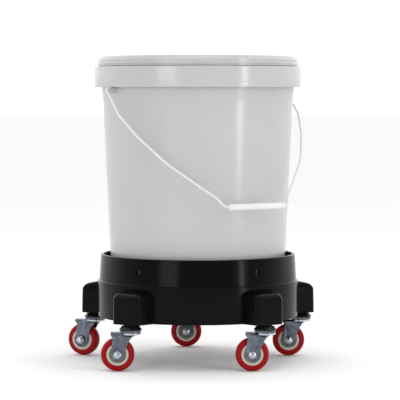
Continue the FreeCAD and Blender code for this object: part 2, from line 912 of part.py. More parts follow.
nodes = ["dolly_ring", "pail", "lid", "lid_seal", "bail_wire", "bail_grip"]
nodes += ["%s_%s" % (name, piece) for name in CASTER_NAMES for piece in PIECES_PER_CASTER]
by_label = {obj.Label: obj for obj in doc.Objects}

for obj in doc.Objects:
    if "Invalid" in obj.State or "Error" in obj.State:
        raise RuntimeError("%s is %s" % (obj.Label, obj.State))
for node in nodes:
    shape = by_label[node].Shape
    if shape.isNull() or not shape.isValid() or not shape.Solids:
        raise RuntimeError("%s has no valid solid" % node)

os.makedirs("parts", exist_ok=True)
for node in nodes:
    by_label[node].Shape.exportStep("parts/%s.step" % node)
    print("%-26s solids %d  volume %10.1f mm3" % (
        node, len(by_label[node].Shape.Solids), by_label[node].Shape.Volume))
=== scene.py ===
"""Rolling wash bucket: the visible pieces, their finishes, and the studio round them."""

import json
import math

import bpy
import bmesh
from mathutils import Matrix, Vector


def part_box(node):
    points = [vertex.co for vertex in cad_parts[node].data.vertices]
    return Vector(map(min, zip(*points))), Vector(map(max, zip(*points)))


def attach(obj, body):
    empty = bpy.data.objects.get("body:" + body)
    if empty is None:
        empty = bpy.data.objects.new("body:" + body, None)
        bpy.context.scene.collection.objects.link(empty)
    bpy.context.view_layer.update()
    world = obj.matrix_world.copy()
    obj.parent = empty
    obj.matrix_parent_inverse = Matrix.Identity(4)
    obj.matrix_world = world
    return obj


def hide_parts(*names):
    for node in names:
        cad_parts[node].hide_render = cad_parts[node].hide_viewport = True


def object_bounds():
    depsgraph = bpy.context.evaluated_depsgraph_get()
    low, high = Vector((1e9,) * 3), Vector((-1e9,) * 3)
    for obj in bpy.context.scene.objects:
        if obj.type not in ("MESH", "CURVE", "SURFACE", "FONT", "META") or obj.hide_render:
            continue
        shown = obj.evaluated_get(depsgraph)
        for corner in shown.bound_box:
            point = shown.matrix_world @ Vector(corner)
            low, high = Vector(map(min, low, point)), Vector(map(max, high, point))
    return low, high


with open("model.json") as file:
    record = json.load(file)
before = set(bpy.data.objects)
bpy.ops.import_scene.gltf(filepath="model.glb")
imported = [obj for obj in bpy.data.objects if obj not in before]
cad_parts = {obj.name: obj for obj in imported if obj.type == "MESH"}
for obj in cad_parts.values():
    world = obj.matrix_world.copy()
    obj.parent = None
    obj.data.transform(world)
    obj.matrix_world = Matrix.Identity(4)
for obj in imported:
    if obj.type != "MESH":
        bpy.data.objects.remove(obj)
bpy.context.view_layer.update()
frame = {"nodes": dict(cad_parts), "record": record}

MM = 0.001
CASTERS = ("back", "left_side", "front_left", "front_right", "right_side")
Z = Vector((0, 0, 1))
SHARP = 32.0               # degrees between two faces from which their edge stays sharp
ARC_STEP = 10.0            # degrees of a rounded corner between two points
NEARLY_STRAIGHT = 178.5    # degrees from which a corner is left as it is
LONGEST_REACH = 0.49       # share of a side that the arc at one of its ends may take

# How an outline (x, y) stands when it is extruded: its y is always height.
SIDE_ON = Matrix(((1, 0, 0, 0), (0, 0, -1, 0), (0, 1, 0, 0), (0, 0, 0, 1)))    # its x along X
END_ON = Matrix(((0, 0, 1, 0), (1, 0, 0, 0), (0, 1, 0, 0), (0, 0, 0, 1)))      # its x along Y


# ---------------------------------------------------------------- mesh tools

def fillet(points):
    """Closed outline of corners (x, y) or (x, y, radius). One with a radius becomes an arc."""
    path = []
    count = len(points)
    for i, point in enumerate(points):
        here = Vector(point[:2])
        radius = point[2] if len(point) > 2 else 0.0
        if radius <= 0.0:
            path.append(tuple(here))
            continue
        back = Vector(points[i - 1][:2]) - here
        ahead = Vector(points[(i + 1) % count][:2]) - here
        opening = back.angle(ahead)
        if opening > math.radians(NEARLY_STRAIGHT):
            path.append(tuple(here))
            continue
        reach = min(radius / math.tan(opening / 2),
                    back.length * LONGEST_REACH, ahead.length * LONGEST_REACH)
        radius = reach * math.tan(opening / 2)
        back.normalize()
        ahead.normalize()
        centre = here + (back + ahead).normalized() * (radius / math.sin(opening / 2))
        start = here + back * reach - centre
        finish = here + ahead * reach - centre
        turn = math.atan2(start.x * finish.y - start.y * finish.x, start.dot(finish))
        steps = max(2, math.ceil(abs(math.degrees(turn)) / ARC_STEP))
        for k in range(steps + 1):
            angle = turn * k / steps
            c, s = math.cos(angle), math.sin(angle)
            path.append((centre.x + c * start.x - s * start.y, centre.y + s * start.x + c * start.y))
    return path


def circle(radius, sides, x=0.0, y=0.0):
    """Outline of a regular polygon, with enough sides a circle, round (x, y)."""
    turns = [2 * math.pi * k / sides for k in range(sides)]
    return [(x + radius * math.cos(turn), y + radius * math.sin(turn)) for turn in turns]


def finish_mesh(name, bm, sharp=SHARP):
    """Turn a bmesh in millimetres into an object in metres."""
    bmesh.ops.remove_doubles(bm, verts=bm.verts, dist=1e-4)
    bmesh.ops.dissolve_degenerate(bm, edges=bm.edges, dist=1e-5)
    bmesh.ops.recalc_face_normals(bm, faces=bm.faces)
    bmesh.ops.scale(bm, verts=bm.verts, vec=(MM, MM, MM))
    mesh = bpy.data.meshes.new(name)
    bm.to_mesh(mesh)
    bm.free()
    mesh.shade_smooth()
    mesh.set_sharp_from_angle(angle=math.radians(sharp))
    obj = bpy.data.objects.new(name, mesh)
    bpy.context.scene.collection.objects.link(obj)
    return obj


def add_lathe(bm, profile, segments, place=Matrix()):
    """Turn a closed profile (radius, height) about Z, then place it."""
    rings = []
    for k in range(segments):
        angle = 2 * math.pi * k / segments
        c, s = math.cos(angle), math.sin(angle)
        rings.append([bm.verts.new(place @ Vector((r * c, r * s, z))) for r, z in profile])
    count = len(profile)
    for k in range(segments):
        one, two = rings[k], rings[(k + 1) % segments]
        for i in range(count):
            j = (i + 1) % count
            if profile[i][0] < 1e-6 and profile[j][0] < 1e-6:
                continue
            bm.faces.new((one[i], two[i], two[j], one[j]))


def add_prism(bm, outline, low, high, place=Matrix()):
    """Extrude a closed outline (x, y) from low to high along Z, then place it."""
    floor = [bm.verts.new(place @ Vector((x, y, low))) for x, y in outline]
    roof = [bm.verts.new(place @ Vector((x, y, high))) for x, y in outline]
    count = len(outline)
    for i in range(count):
        j = (i + 1) % count
        bm.faces.new((floor[i], floor[j], roof[j], roof[i]))
    bm.faces.new(list(reversed(floor)))
    bm.faces.new(roof)


def add_spokes(bm, count, outline, thickness):
    """Upright plates round the Z axis, evenly spaced, the first one at the back."""
    for k in range(count):
        turn = Matrix.Rotation(math.pi / 2 + 2 * math.pi * k / count, 4, "Z")
        add_prism(bm, outline, -thickness / 2, thickness / 2, turn @ SIDE_ON)


def lathe(name, profile, segments, place=Matrix()):
    """Object turned about Z."""
    bm = bmesh.new()
    add_lathe(bm, profile, segments, place)
    return finish_mesh(name, bm)


def prism(name, outline, low, high, place=Matrix()):
    """Object extruded along Z."""
    bm = bmesh.new()
    add_prism(bm, outline, low, high, place)
    return finish_mesh(name, bm)


def bake_modifiers(obj, sharp=SHARP):
    """Replace an object's mesh by what its modifiers make of it."""
    bpy.context.view_layer.update()
    graph = bpy.context.evaluated_depsgraph_get()
    mesh = bpy.data.meshes.new_from_object(obj.evaluated_get(graph))
    obj.modifiers.clear()
    obj.data = mesh
    mesh.shade_smooth()
    mesh.set_sharp_from_angle(angle=math.radians(sharp))
    return obj


def combine(obj, tool, operation):
    """Apply one boolean and remove the tool."""
    modifier = obj.modifiers.new("cut", "BOOLEAN")
    modifier.operation = operation
    modifier.object = tool
    modifier.solver = "EXACT"
    bake_modifiers(obj)
    bpy.data.objects.remove(tool)
    return obj


def soften(obj, width):
    """Round an object's hard edges, width in millimetres."""
    modifier = obj.modifiers.new("soft_edges", "BEVEL")
    modifier.width = width * MM
    modifier.segments = 2
    modifier.limit_method = "ANGLE"
    modifier.angle_limit = math.radians(35.0)
    return bake_modifiers(obj)


def join(name, objects):
    """One object holding the meshes of several."""
    bm = bmesh.new()
    for obj in objects:
        bm.from_mesh(obj.data)
        bpy.data.objects.remove(obj)
    mesh = bpy.data.meshes.new(name)
    bm.to_mesh(mesh)
    bm.free()
    mesh.shade_smooth()
    mesh.set_sharp_from_angle(angle=math.radians(SHARP))
    joined = bpy.data.objects.new(name, mesh)
    bpy.context.scene.collection.objects.link(joined)
    return joined


def mirror(half):
    """Corners (radius, height, ...) again, on the other side of height 0, to follow the half."""
    return [(radius, -height, *corner) for radius, height, *corner in reversed(half)]


def turned_copy(obj, name, place):
    """A copy of an object's mesh, moved into place, in metres."""
    mesh = obj.data.copy()
    mesh.transform(place)
    copy = bpy.data.objects.new(name, mesh)
    bpy.context.scene.collection.objects.link(copy)
    return copy


def axes(origin, x, y, z):
    """Frame with its origin in millimetres and these unit axes."""
    turn = Matrix((x, y, z)).transposed().to_4x4()
    return Matrix.Translation(origin) @ turn


def in_metres(place):
    """The same frame for a mesh that is already in metres."""
    turn = place.to_3x3().to_4x4()
    return Matrix.Translation(place.translation * MM) @ turn


# ---------------------------------------------------------------- finishes

class Finish:
    """A procedural material built from noise in the piece's own space."""

    def __init__(self, name):
        self.material = bpy.data.materials.new(name)
        self.material.use_nodes = True
        self.tree = self.material.node_tree
        self.shader = self.tree.nodes["Principled BSDF"]
        self.coords = self.node("ShaderNodeTexCoord").outputs["Object"]

    def node(self, kind, **settings):
        """New node with these settings."""
        made = self.tree.nodes.new(kind)
        for key, value in settings.items():
            setattr(made, key, value)
        return made

    def link(self, output, target):
        """Wire an output to an input."""
        self.tree.links.new(output, target)

    def noise(self, scale, detail, roughness, stretch=(1, 1, 1), distortion=0.0):
        """Noise whose cells are stretched where the stretch is below 1."""
        mapping = self.node("ShaderNodeMapping")
        mapping.inputs["Scale"].default_value = stretch
        self.link(self.coords, mapping.inputs["Vector"])
        texture = self.node("ShaderNodeTexNoise")
        texture.inputs["Scale"].default_value = scale
        texture.inputs["Detail"].default_value = detail
        texture.inputs["Roughness"].default_value = roughness
        texture.inputs["Distortion"].default_value = distortion
        self.link(mapping.outputs["Vector"], texture.inputs["Vector"])
        return texture.outputs["Fac"]

    def remap(self, value, low, high, start=0.3, stop=0.7):
        """A value from start to stop, spread over low to high."""
        node = self.node("ShaderNodeMapRange")
        node.inputs["From Min"].default_value = start
        node.inputs["From Max"].default_value = stop
        node.inputs["To Min"].default_value = low
        node.inputs["To Max"].default_value = high
        self.link(value, node.inputs["Value"])
        return node.outputs["Result"]

    def mix(self, factor, one, two):
        """Blend from one colour to the other. Each is an output or three numbers."""
        node = self.node("ShaderNodeMix", data_type="RGBA")
        for socket, value in ((node.inputs[6], one), (node.inputs[7], two)):
            if isinstance(value, tuple):
                socket.default_value = (*value, 1.0)
            else:
                self.link(value, socket)
        self.link(factor, node.inputs[0])
        return node.outputs[2]

    def add(self, one, two):
        """Sum of two outputs."""
        node = self.node("ShaderNodeMath", operation="ADD")
        self.link(one, node.inputs[0])
        self.link(two, node.inputs[1])
        return node.outputs[0]

    def bump(self, *layers):
        """Stack bumps, each (height, depth in millimetres)."""
        normal = None
        for height, depth in layers:
            node = self.node("ShaderNodeBump")
            node.inputs["Strength"].default_value = 1.0
            node.inputs["Distance"].default_value = depth * MM
            self.link(height, node.inputs["Height"])
            if normal is not None:
                self.link(normal, node.inputs["Normal"])
            normal = node.outputs["Normal"]
        self.link(normal, self.shader.inputs["Normal"])

    def metallic(self, value):
        """Set on the shader itself, the same all over."""
        self.shader.inputs["Metallic"].default_value = value

    def specular(self, value):
        """Set on the shader itself, the same all over."""
        self.shader.inputs["Specular IOR Level"].default_value = value

    def colour(self, output):
        """Base colour from an output."""
        self.link(output, self.shader.inputs["Base Color"])

    def rough(self, output):
        """Roughness from an output."""
        self.link(output, self.shader.inputs["Roughness"])


def moulded(name, light, dark, rough_low, rough_high, grain, scuff, specular=0.5):
    """Injection-moulded plastic: faint mottle, orange peel, flow streaks and handling scuffs.

    The grain is the depth of the finest bumps in millimetres, and scuff the scuffs' colour.
    """
    finish = Finish(name)
    mottle = finish.noise(9.0, 5.0, 0.6)
    flow = finish.noise(60.0, 3.0, 0.5, stretch=(1, 1, 0.08))
    tone = finish.mix(finish.remap(mottle, 0.0, 1.0), dark, light)
    scratches = finish.noise(240.0, 6.0, 0.75, stretch=(0.25, 1.0, 1.6), distortion=0.8)
    mask = finish.remap(scratches, 0.0, 1.0, 0.64, 0.78)
    finish.colour(finish.mix(mask, tone, scuff))
    base = finish.remap(flow, rough_low, rough_high)
    finish.rough(finish.add(base, finish.remap(scratches, 0.0, 0.16, 0.60, 0.80)))
    peel = finish.noise(420.0, 2.0, 0.5)
    fine = finish.noise(2600.0, 2.0, 0.6)
    finish.bump((peel, grain * 2.0), (fine, grain))
    finish.specular(specular)
    return finish.material


def plated(name, bright, tinted, rough_low, rough_high):
    """Plated or bare steel: crystalline grain, a drift between two tones, and drawn lines."""
    finish = Finish(name)
    drift = finish.noise(55.0, 4.0, 0.6, distortion=1.2)
    crystals = finish.node("ShaderNodeTexVoronoi", feature="F1")
    crystals.inputs["Scale"].default_value = 900.0
    finish.link(finish.coords, crystals.inputs["Vector"])
    tone = finish.mix(finish.remap(drift, 0.0, 1.0), bright, tinted)
    finish.colour(finish.mix(finish.remap(crystals.outputs["Distance"], 0.0, 0.25, 0.1, 0.8),
                             tone, tuple(c * 0.9 for c in bright)))
    lines = finish.noise(700.0, 3.0, 0.6, stretch=(1, 1, 0.12))
    finish.rough(finish.remap(lines, rough_low, rough_high))
    finish.bump((drift, 0.012), (lines, 0.003))
    finish.metallic(1.0)
    return finish.material


def rubbery(name, light, dark, rough_low, rough_high, specular=0.5):
    """Cast polyurethane or rubber: an even colour with faint clouds and fine specks."""
    finish = Finish(name)
    cloud = finish.noise(70.0, 4.0, 0.6)
    speck = finish.noise(1500.0, 3.0, 0.6)
    finish.colour(finish.mix(finish.remap(cloud, 0.0, 1.0), dark, light))
    finish.rough(finish.remap(speck, rough_low, rough_high))
    finish.bump((cloud, 0.02), (speck, 0.006))
    finish.specular(specular)
    return finish.material


# By slot. The lighter copy of zinc_steel below is a painted highlight on the axles, nuts and fork
# crowns; zinc_steel itself is darkened, painted shade on the forks, kingpins and races.
FINISHES = {
    "pail_plastic": moulded("pail_plastic", (0.512, 0.512, 0.514), (0.490, 0.490, 0.494),
                            0.17, 0.20, 0.003, (0.530, 0.530, 0.530)),
    "lid_plastic": moulded("lid_plastic", (0.525, 0.525, 0.527), (0.500, 0.500, 0.503),
                           0.20, 0.24, 0.004, (0.540, 0.540, 0.540)),
    "ring_plastic": moulded("ring_plastic", (0.0028, 0.0028, 0.0032), (0.0018, 0.0018, 0.0021),
                            0.15, 0.20, 0.004, (0.004, 0.004, 0.0045), 0.08),
    "cap_plastic": moulded("cap_plastic", (0.009, 0.009, 0.010), (0.005, 0.005, 0.006),
                           0.28, 0.40, 0.010, (0.022, 0.022, 0.024), 0.35),
    "grip_plastic": moulded("grip_plastic", (0.80, 0.80, 0.80), (0.75, 0.75, 0.755),
                            0.26, 0.36, 0.008, (0.70, 0.70, 0.70)),
    "bail_wire": moulded("bail_wire_coat", (0.78, 0.78, 0.785), (0.73, 0.73, 0.74),
                         0.22, 0.32, 0.006, (0.66, 0.66, 0.67)),
    "hub_plastic": moulded("hub_plastic", (0.55, 0.52, 0.44), (0.50, 0.47, 0.39),
                           0.28, 0.38, 0.010, (0.68, 0.64, 0.53)),
    # Darker than the plated steel is: painted shade on the forks, kingpins and upper races.
    "zinc_steel": plated("zinc_steel", (0.19, 0.215, 0.26), (0.055, 0.065, 0.085), 0.13, 0.20),
    # A lighter copy of zinc_steel: a painted highlight, the glint on the axles, nuts and crowns.
    "zinc_painted_highlight": plated("zinc_painted_highlight", (0.66, 0.69, 0.73), (0.36, 0.39, 0.43), 0.08, 0.16),
    "ball_steel": plated("ball_steel", (0.72, 0.73, 0.75), (0.66, 0.67, 0.69), 0.08, 0.16),
    "bush_steel": plated("bush_steel", (0.66, 0.67, 0.68), (0.58, 0.59, 0.60), 0.18, 0.30),
    "tyre_red": rubbery("tyre_red", (0.33, 0.0004, 0.005), (0.27, 0.0004, 0.004), 0.26, 0.36, 0.15),
    "seal_rubber": rubbery("seal_rubber", (0.035, 0.035, 0.036), (0.025, 0.025, 0.026), 0.55, 0.75),
}


def stand_in(piece, body, slot, *nodes, finish=None):
    """Give a piece its finish, its body and the CAD nodes it stands for."""
    piece.data.materials.clear()
    piece.data.materials.append(FINISHES[finish or slot])
    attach(piece, body)
    if nodes:
        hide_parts(*nodes)
    return piece


# ---------------------------------------------------------------- pail and lid

joints = {joint["name"]: joint for joint in frame["record"]["behaviour"]["joints"]}


def joint_place(name):
    """Anchor in millimetres and unit axis of a joint."""
    joint = joints[name]
    return Vector(joint["pos_m"]) / MM, Vector(joint["axis"]).normalized()


# Radii of the pail, and heights above its base. The wall changes its slope at LOW and HIGH.
PAIL_WALL, BASE_RADIUS, NECK_RADIUS, RIM_RADIUS = 2.2, 130.5, 147.3, 149.4
FOOT_INNER, FOOT_RADIUS, FLOOR_LOW, FLOOR_TOP = 116.5, 120.0, 3.0, 5.4
LOW_RADIUS, LOW_RISE, HIGH_RADIUS, HIGH_RISE = 134.0, 87.0, 144.8, 319.0
BAND_LOW_RISE, BAND_TOP_RISE, BAND_HEM, BAND_HEM_RISE = 340.0, 371.0, 0.3, 7.4
BAND_RIBS, BAND_RIB_HALF = 24, 0.6
WIRE_RADIUS, WIRE_HOLE = 1.7, 1.78

pail_low, pail_high = (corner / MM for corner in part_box("pail"))
base, rim_z = pail_low.z, pail_high.z
band_radius = (pail_high.x - pail_low.x) / 2
band_low, band_top = base + BAND_LOW_RISE, base + BAND_TOP_RISE
band_inner, hem_radius, hem_z = band_radius - PAIL_WALL, band_radius - BAND_HEM, band_low + BAND_HEM_RISE

pail_profile = fillet([
    (0.0, base + FLOOR_LOW), (FOOT_INNER, base + FLOOR_LOW, 2.0), (FOOT_RADIUS, base, 1.0),
    (BASE_RADIUS, base, 2.6), (LOW_RADIUS, base + LOW_RISE, 60.0),
    (HIGH_RADIUS, base + HIGH_RISE, 12.0), (NECK_RADIUS, band_low, 4.0),
    (NECK_RADIUS, band_top - PAIL_WALL, 1.2), (band_inner, band_top - PAIL_WALL, 1.0),
    (band_inner, band_low, 0.5), (hem_radius, band_low, 0.8), (hem_radius, hem_z, 0.3),
    (band_radius, hem_z + 0.5, 0.3), (band_radius, band_top, 1.6), (RIM_RADIUS, band_top, 1.0),
    (RIM_RADIUS, rim_z, 1.4), (NECK_RADIUS - PAIL_WALL, rim_z, 1.4),
    (NECK_RADIUS - PAIL_WALL, band_low, 4.0), (HIGH_RADIUS - PAIL_WALL, base + HIGH_RISE, 12.0),
    (LOW_RADIUS - PAIL_WALL, base + LOW_RISE, 60.0), (BASE_RADIUS - PAIL_WALL, base + FLOOR_TOP, 4.0),
    (0.0, base + FLOOR_TOP),
])

bail_anchor, bail_axis = joint_place("bail_swing")
if bail_axis.x < 0:
    bail_axis = -bail_axis

bm = bmesh.new()
add_lathe(bm, pail_profile, 256)
rib_start, rib_end = NECK_RADIUS - 1.0, band_radius - 1.6
rib = [(rib_start, -BAND_RIB_HALF), (rib_end, -BAND_RIB_HALF), (rib_end, BAND_RIB_HALF),
       (rib_start, BAND_RIB_HALF)]
for k in range(BAND_RIBS):
    turn = Matrix.Rotation(2 * math.pi * k / BAND_RIBS, 4, "Z")
    add_prism(bm, rib, band_low + 6.0, band_top - 1.0, turn)
# The ears: tapered posts behind the band, with the wire's hole along them.
EAR_INNER, EAR_OUTER = 145.6, 157.6
ear_profile = fillet([(WIRE_HOLE, EAR_OUTER), (5.9, EAR_OUTER, 0.6), (6.5, EAR_INNER),
                      (WIRE_HOLE, EAR_INNER)])
for side in (-1, 1):
    out = bail_axis * side
    add_lathe(bm, ear_profile, 40, axes(bail_anchor, Z.cross(out), Z, out))
stand_in(finish_mesh("pail_moulding", bm), "pail", "pail_plastic", "pail")

LID_WALL, PLUG_INNER, PLUG_OUTER, BEAD_PROUD = 2.0, 142.6, 144.6, 0.7
lid_low, lid_high = (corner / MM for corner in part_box("lid"))
low, top = lid_low.z, lid_high.z
bead = (lid_high.x - lid_low.x) / 2
skirt = bead - BEAD_PROUD


def bead_from(height):
    """Corners of a bead round the lid's skirt, upwards from this height."""
    return [(skirt, height, 0.4), (bead, height + 0.6, 0.5), (bead, height + 1.5, 0.5),
            (skirt, height + 2.1, 0.4)]


lid = lathe("lid_moulding", fillet([
    (0.0, top - LID_WALL), (PLUG_INNER, top - LID_WALL, 0.8), (PLUG_INNER, low + 3.0, 0.5),
    (PLUG_OUTER, low + 3.0, 0.5), (PLUG_OUTER, rim_z + 1.4, 0.5),
    (skirt - LID_WALL, rim_z + 1.4, 0.8), (skirt - LID_WALL, low, 0.4), (skirt, low, 0.6),
    *bead_from(low + 2.7), *bead_from(low + 7.5),
    (skirt, low + 10.6, 2.0), (skirt - 4.6, top, 4.0), (0.0, top),
]), 256)
stand_in(lid, "lid", "lid_plastic", "lid")


# ---------------------------------------------------------------- bail

grip_anchor, _ = joint_place("grip_turn")
bail_down = grip_anchor - bail_anchor
bail_down -= bail_axis * bail_down.dot(bail_axis)
arm = bail_down.length
bail_down.normalize()

SPAN, WIRE_END, GRIP_HALF = 161.0, 149.0, 48.0
# Corners of half the bail: how far along its axis, how far from the axis, and the bend's radius.
HALF_BAIL = ((SPAN, 0.0, 2.6), (SPAN, 54.0, 40.0), (SPAN - 14.0, 96.0, 60.0),
             (SPAN - 42.0, 151.0, 90.0), (SPAN - 84.0, 203.0, 90.0), (GRIP_HALF + 14.0, 221.0, 6.0),
             (GRIP_HALF + 10.0, arm - 6.0, 5.0), (GRIP_HALF + 5.0, arm, 4.0))


def rounded_run(corners, radii):
    """Centreline through corners with tangent bends, close enough together to sweep."""
    run = [corners[0]]
    for before, corner, after, radius in zip(corners, corners[1:], corners[2:], radii):
        back = (before - corner).normalized()
        ahead = (after - corner).normalized()
        half_turn = (math.pi - back.angle(ahead)) / 2
        reach = radius * math.tan(half_turn)
        middle = (back + ahead).normalized()
        centre = corner + middle * (radius / math.cos(half_turn))
        start, finish = corner + back * reach - centre, corner + ahead * reach - centre
        steps = max(3, math.ceil(math.degrees(2 * half_turn) / 5.0))
        for k in range(steps + 1):
            run.append(centre + start.normalized().slerp(finish.normalized(), k / steps) * radius)
    run.append(corners[-1])
    return run


def sweep(name, run, radius, sides=20):
    """Round bar along a centreline, with chamfered ends."""
    end_share, end_run = 0.55, radius * 0.35
    bm = bmesh.new()
    heading = (run[1] - run[0]).normalized()
    across = heading.orthogonal().normalized()
    stations = [(run[0], heading, end_share), (run[0] + heading * end_run, heading, 1.0)]
    for before, point, after in zip(run, run[1:], run[2:]):
        stations.append((point, (after - before).normalized(), 1.0))
    last = (run[-1] - run[-2]).normalized()
    stations += [(run[-1] - last * end_run, last, 1.0), (run[-1], last, end_share)]
    rings = []
    for point, direction, share in stations:
        across = (across - direction * across.dot(direction)).normalized()
        up = direction.cross(across)
        ring = []
        for k in range(sides):
            angle = 2 * math.pi * k / sides
            offset = across * math.cos(angle) + up * math.sin(angle)
            ring.append(bm.verts.new(point + offset * radius * share))
        rings.append(ring)
    for one, two in zip(rings, rings[1:]):
        for k in range(sides):
            j = (k + 1) % sides
            bm.faces.new((one[k], one[j], two[j], two[k]))
    bm.faces.new(list(reversed(rings[0])))
    bm.faces.new(rings[-1])
    return finish_mesh(name, bm, 40.0)


def on_bail(along, away):
    """Point in the bail's plane, along its axis and away from it, towards the grip."""
    return bail_anchor + bail_axis * along + bail_down * away


bends = list(HALF_BAIL) + [(-along, away, radius) for along, away, radius in reversed(HALF_BAIL)]
corners = [on_bail(along, away) for along, away, radius in bends]
corners = [on_bail(WIRE_END, 0.0), *corners, on_bail(-WIRE_END, 0.0)]
radii = [radius for along, away, radius in bends]
wire = sweep("bail_wire_rod", rounded_run(corners, radii), WIRE_RADIUS)
stand_in(wire, "bail", "bail_wire", "bail_wire")

grip_place = axes(on_bail(0.0, arm), bail_down, bail_axis.cross(bail_down), bail_axis)
GRIP_COLLAR, GRIP_TUBE = 4.9, 4.7
grip_half = [(WIRE_HOLE, -GRIP_HALF), (4.0, -GRIP_HALF, 0.5), (GRIP_COLLAR, -GRIP_HALF + 1.2, 1.0),
             (GRIP_COLLAR, -GRIP_HALF + 3.4, 0.3), (GRIP_TUBE, -GRIP_HALF + 3.9, 0.3)]
grip = lathe("bail_grip_tube", fillet(grip_half + mirror(grip_half)), 48, grip_place)
stand_in(grip, "grip", "grip_plastic", "bail_grip")


# ---------------------------------------------------------------- dolly

RING_TALL, COLLAR_TALL, RING_WALL, RIB_WALL = 95.0, 40.0, 4.2, 3.0
RING_RADIUS, COLLAR_LOW, COLLAR_TOP = 153.3, 150.7, 148.4
SEAT_RADIUS, SEAT_THICK = 118.0, 4.5
COLLAR_HOLE, COLLAR_HOLE_DROP = 4.3, 20.0
CENTRING_RIBS, WEBS = 10, 15

ring_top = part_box("dolly_ring")[1].z / MM
ring_low = ring_top - RING_TALL
step = ring_top - COLLAR_TALL
seat = base

ring_body = lathe("ring_body", fillet([
    (SEAT_RADIUS, seat - SEAT_THICK, 0.8), (142.7, seat - SEAT_THICK, 1.0),
    (145.2, step - RING_WALL, 1.0), (RING_RADIUS - RING_WALL, step - RING_WALL, 1.0),
    (RING_RADIUS - RING_WALL, ring_low, 0.8), (RING_RADIUS, ring_low, 1.0), (RING_RADIUS, step, 2.2),
    (COLLAR_LOW, step + 0.4, 1.2), (COLLAR_TOP, ring_top, 1.8), (COLLAR_TOP - RING_WALL, ring_top, 1.4),
    (146.0, step + 6.0, 3.0), (141.0, step, 3.0), (138.5, seat, 2.0), (SEAT_RADIUS, seat, 1.2),
]), 320)

stems = {}
trails = {}
for name in CASTERS:
    anchor, _ = joint_place(name + "_swivel_turn")
    wheel, _ = joint_place(name + "_wheel_roll")
    stems[name] = Vector((anchor.x, anchor.y, 0.0))
    trails[name] = (Vector((wheel.x, wheel.y, 0.0)) - stems[name]).normalized()

bm = bmesh.new()
for name in CASTERS:
    out = stems[name].normalized()
    place = axes(Vector((0, 0, ring_top - COLLAR_HOLE_DROP)), Z.cross(out), Z, out)
    add_prism(bm, circle(COLLAR_HOLE, 32), 135.0, 160.0, place)
combine(ring_body, finish_mesh("collar_drill", bm), "DIFFERENCE")

bm = bmesh.new()
add_spokes(bm, CENTRING_RIBS, fillet([
    (132.1, seat - 1.0), (139.6, seat - 1.0), (142.0, step - 2.0, 1.0), (135.2, step - 10.0, 1.5),
]), RIB_WALL)
add_spokes(bm, WEBS, [(141.7, seat - 3.5), (150.1, ring_low + 3.0), (150.1, step - 3.2),
                      (144.2, step - 3.2)], RIB_WALL)
ribs = soften(finish_mesh("ring_ribs", bm), 0.4)

# One pod, in the frame of its stem: X along the ring, Y outwards. Its sides close in outwards.
POD_ROOT, POD_FACE, POD_ROOT_HALF, POD_FACE_HALF = -18.8, 15.0, 28.0, 23.5
POD_CORNER, POD_SHOULDER, POD_WALL, POD_DRAFT = 7.0, 13.0, 3.6, 1.2
# Above POD_NOSE the face bends back by POD_BEND_BACK over POD_BEND, then runs back more and more,
# by POD_TOP_BACK in each POD_TOP_RISE.
POD_NOSE, POD_BEND, POD_BEND_BACK, POD_TOP_RISE, POD_TOP_BACK = 36.0, 9.0, 6.5, 5.0, 25.0
POD_LEVELS = (0.0, 12.0, 24.0, 33.0, 36.0, 37.5, 39.0, 40.5, 42.0, 43.5, 45.0, 46.3, 47.5, 48.6,
              49.4, 49.9)
POD_ROOM_LEVELS = (-3.0, 12.0, 24.0, 34.0)
ARC_PARTS = 12
pod_tall = step - 5.0 - ring_low


def pod_outline(height, inset=0.0):
    """The pod's plan at a height above the ring's foot, rounded over towards its top."""
    over = max(0.0, height - (pod_tall - POD_SHOULDER))
    shrink = POD_SHOULDER - math.sqrt(max(0.0, POD_SHOULDER ** 2 - over ** 2)) + inset
    lean = max(0.0, height - POD_NOSE)
    pulled = POD_BEND_BACK * min(1.0, lean / POD_BEND) ** 2.0
    pulled += POD_TOP_BACK * (max(0.0, lean - POD_BEND) / POD_TOP_RISE) ** 1.3
    draft = POD_DRAFT * height / pod_tall
    face = max(POD_ROOT + 1.5, POD_FACE - pulled - draft - inset)
    near, far = POD_ROOT_HALF - shrink, POD_FACE_HALF - shrink
    share = (face - POD_ROOT) / (POD_FACE - POD_ROOT)
    end = near + (far - near) * share
    corner = max(0.4, min(POD_CORNER - inset * 0.8, end * 0.8, (face - POD_ROOT) * 0.7))
    opening = math.pi / 2 + math.atan2(near - end, face - POD_ROOT)
    reach = corner / math.tan(opening / 2)
    centre = Vector((-end + reach, face - corner))
    start = math.pi - (opening - math.pi / 2)
    path = [(-near, POD_ROOT)]
    for k in range(ARC_PARTS + 1):
        angle = start + (math.pi / 2 - start) * k / ARC_PARTS
        path.append((centre.x + corner * math.cos(angle), centre.y + corner * math.sin(angle)))
    return path + [(-x, y) for x, y in reversed(path)]


def pod_body(name, heights, inset=0.0):
    """Solid through the pod's plans at these heights."""
    bm = bmesh.new()
    previous = None
    for height in heights:
        plan = pod_outline(max(height, 0.0), inset)
        verts = [bm.verts.new((x, y, ring_low + height)) for x, y in plan]
        if previous is None:
            bm.faces.new(list(reversed(verts)))
        else:
            for k in range(len(verts)):
                j = (k + 1) % len(verts)
                bm.faces.new((previous[k], previous[j], verts[j], verts[k]))
        previous = verts
    bm.faces.new(previous)
    return finish_mesh(name, bm)


pod = pod_body("pod", POD_LEVELS)
combine(pod, pod_body("pod_room", POD_ROOM_LEVELS, POD_WALL), "DIFFERENCE")
# A fine remesh, relaxed, gives every edge of the pod the small round that a moulding has.
remesh = pod.modifiers.new("voxels", "REMESH")
remesh.mode = "VOXEL"
remesh.voxel_size = 0.75 * MM
bake_modifiers(pod)
relax = pod.modifiers.new("relax", "SMOOTH")
relax.factor = 0.5
relax.iterations = 6
bake_modifiers(pod, 180.0)

